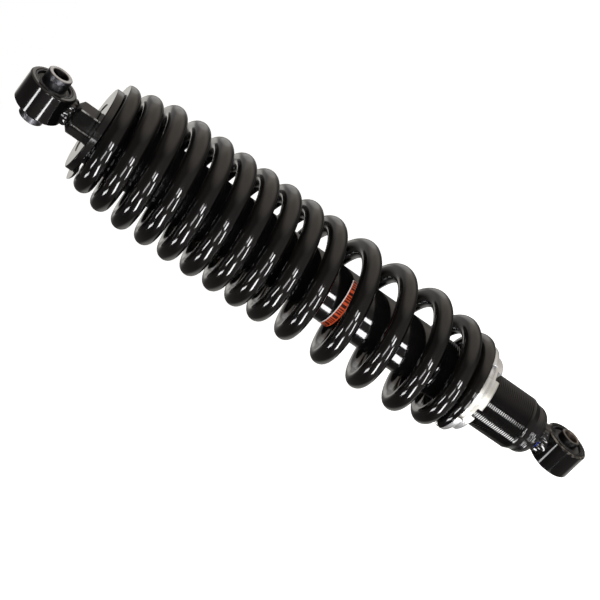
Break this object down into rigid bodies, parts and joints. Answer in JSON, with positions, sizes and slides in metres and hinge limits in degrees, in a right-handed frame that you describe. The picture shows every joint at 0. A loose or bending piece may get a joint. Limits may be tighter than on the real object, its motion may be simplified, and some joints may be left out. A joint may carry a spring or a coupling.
{
  "type": "rear shock",
  "caption": "Coil-over rear shock for an all-terrain vehicle: sprung telescopic damper with threaded preload rings, a dual-pitch spring and a rubber-bushed eye at each end.",
  "frame": {"origin": "centre of the lower eye's bolt bore", "axes": "+Z along the shock from the lower eye to the rod-end eye, X along both bolt bores"},
  "size_m": [0.0826, 0.0826, 0.4315],
  "materials": {
    "black_gloss_coat": "gloss black powder coat",
    "spring_gloss_coat": "gloss black powder coat on the spring",
    "machined_aluminium": "bright machined aluminium with turning marks",
    "label_print": "printed orange-red film",
    "zinc_plate": "bright zinc plate",
    "dark_steel": "dark drawn steel",
    "black_rubber": "moulded rubber",
    "hard_chrome": "hard chrome, ground",
    "inner_steel": "plain ground steel",
    "inner_aluminium": "plain machined aluminium",
    "bronze": "sintered bronze",
    "ptfe": "filled PTFE"
  },
  "bodies": {
    "lower_mount": {"lower_bush_sleeve": "zinc_plate"},
    "damper_body": {"lower_eye": "black_gloss_coat", "lower_weld_bead": "black_gloss_coat", "lower_bush_shell": "dark_steel", "lower_bush_rubber": "black_rubber", "base_cap": "black_gloss_coat", "body_tube": "black_gloss_coat", "label_band": "label_print", "pressure_tube": "inner_steel", "base_valve": "inner_aluminium", "rod_guide": "inner_aluminium", "guide_bush": "bronze", "oil_seal": "black_rubber", "gland_cap": "inner_steel"},
    "perch": {"spring_perch": "machined_aluminium", "main_spring": "spring_gloss_coat"},
    "preload_ring": {"preload_nut": "machined_aluminium"},
    "spring_carrier": {"upper_spring_seat": "black_gloss_coat", "dust_cover": "black_gloss_coat", "bump_stop": "black_rubber"},
    "rod_and_eye": {"seat_hub": "black_gloss_coat", "piston_rod": "hard_chrome", "rebound_stop": "black_rubber", "piston_washer": "inner_steel", "compression_shims": "inner_steel", "piston": "inner_aluminium", "piston_ring": "ptfe", "rebound_shims": "inner_steel", "piston_nut": "inner_steel", "rod_end_hex": "black_gloss_coat", "upper_weld_bead": "black_gloss_coat", "upper_eye": "black_gloss_coat", "upper_bush_shell": "dark_steel", "upper_bush_rubber": "black_rubber"},
    "upper_mount": {"upper_bush_sleeve": "zinc_plate"}
  },
  "joints": [
    {"name": "lower_bush_twist", "type": "hinge", "parent": "lower_mount", "child": "damper_body", "pos_m": [0, 0, 0], "axis": [1, 0, 0], "range_deg": [-20, 20], "stiffness_Nm_per_rad": 60},
    {"name": "damper_stroke", "type": "slide", "parent": "damper_body", "child": "spring_carrier", "axis": [0, 0, -1], "range_m": [0, 0.07], "stiffness_N_per_m": 56000, "springref_m": -0.01, "deforming": ["main_spring"]},
    {"name": "rod_turn", "type": "hinge", "parent": "spring_carrier", "child": "rod_and_eye", "pos_m": [0, 0, 0.38], "axis": [0, 0, 1], "continuous": true},
    {"name": "upper_bush_twist", "type": "hinge", "parent": "rod_and_eye", "child": "upper_mount", "pos_m": [0, 0, 0.4], "axis": [1, 0, 0], "range_deg": [-20, 20], "stiffness_Nm_per_rad": 60},
    {"name": "preload_travel", "type": "slide", "parent": "damper_body", "child": "perch", "axis": [0, 0, 1], "range_m": [-0.006, 0.012]},
    {"name": "preload_nut_turn", "type": "hinge", "parent": "perch", "child": "preload_ring", "pos_m": [0, 0, 0.075], "axis": [0, 0, 1], "range_deg": [-1440, 2880]}
  ],
  "couplings": [
    {"joint": "preload_nut_turn", "follows": "preload_travel", "rad_per_m": 4188.8}
  ]
}
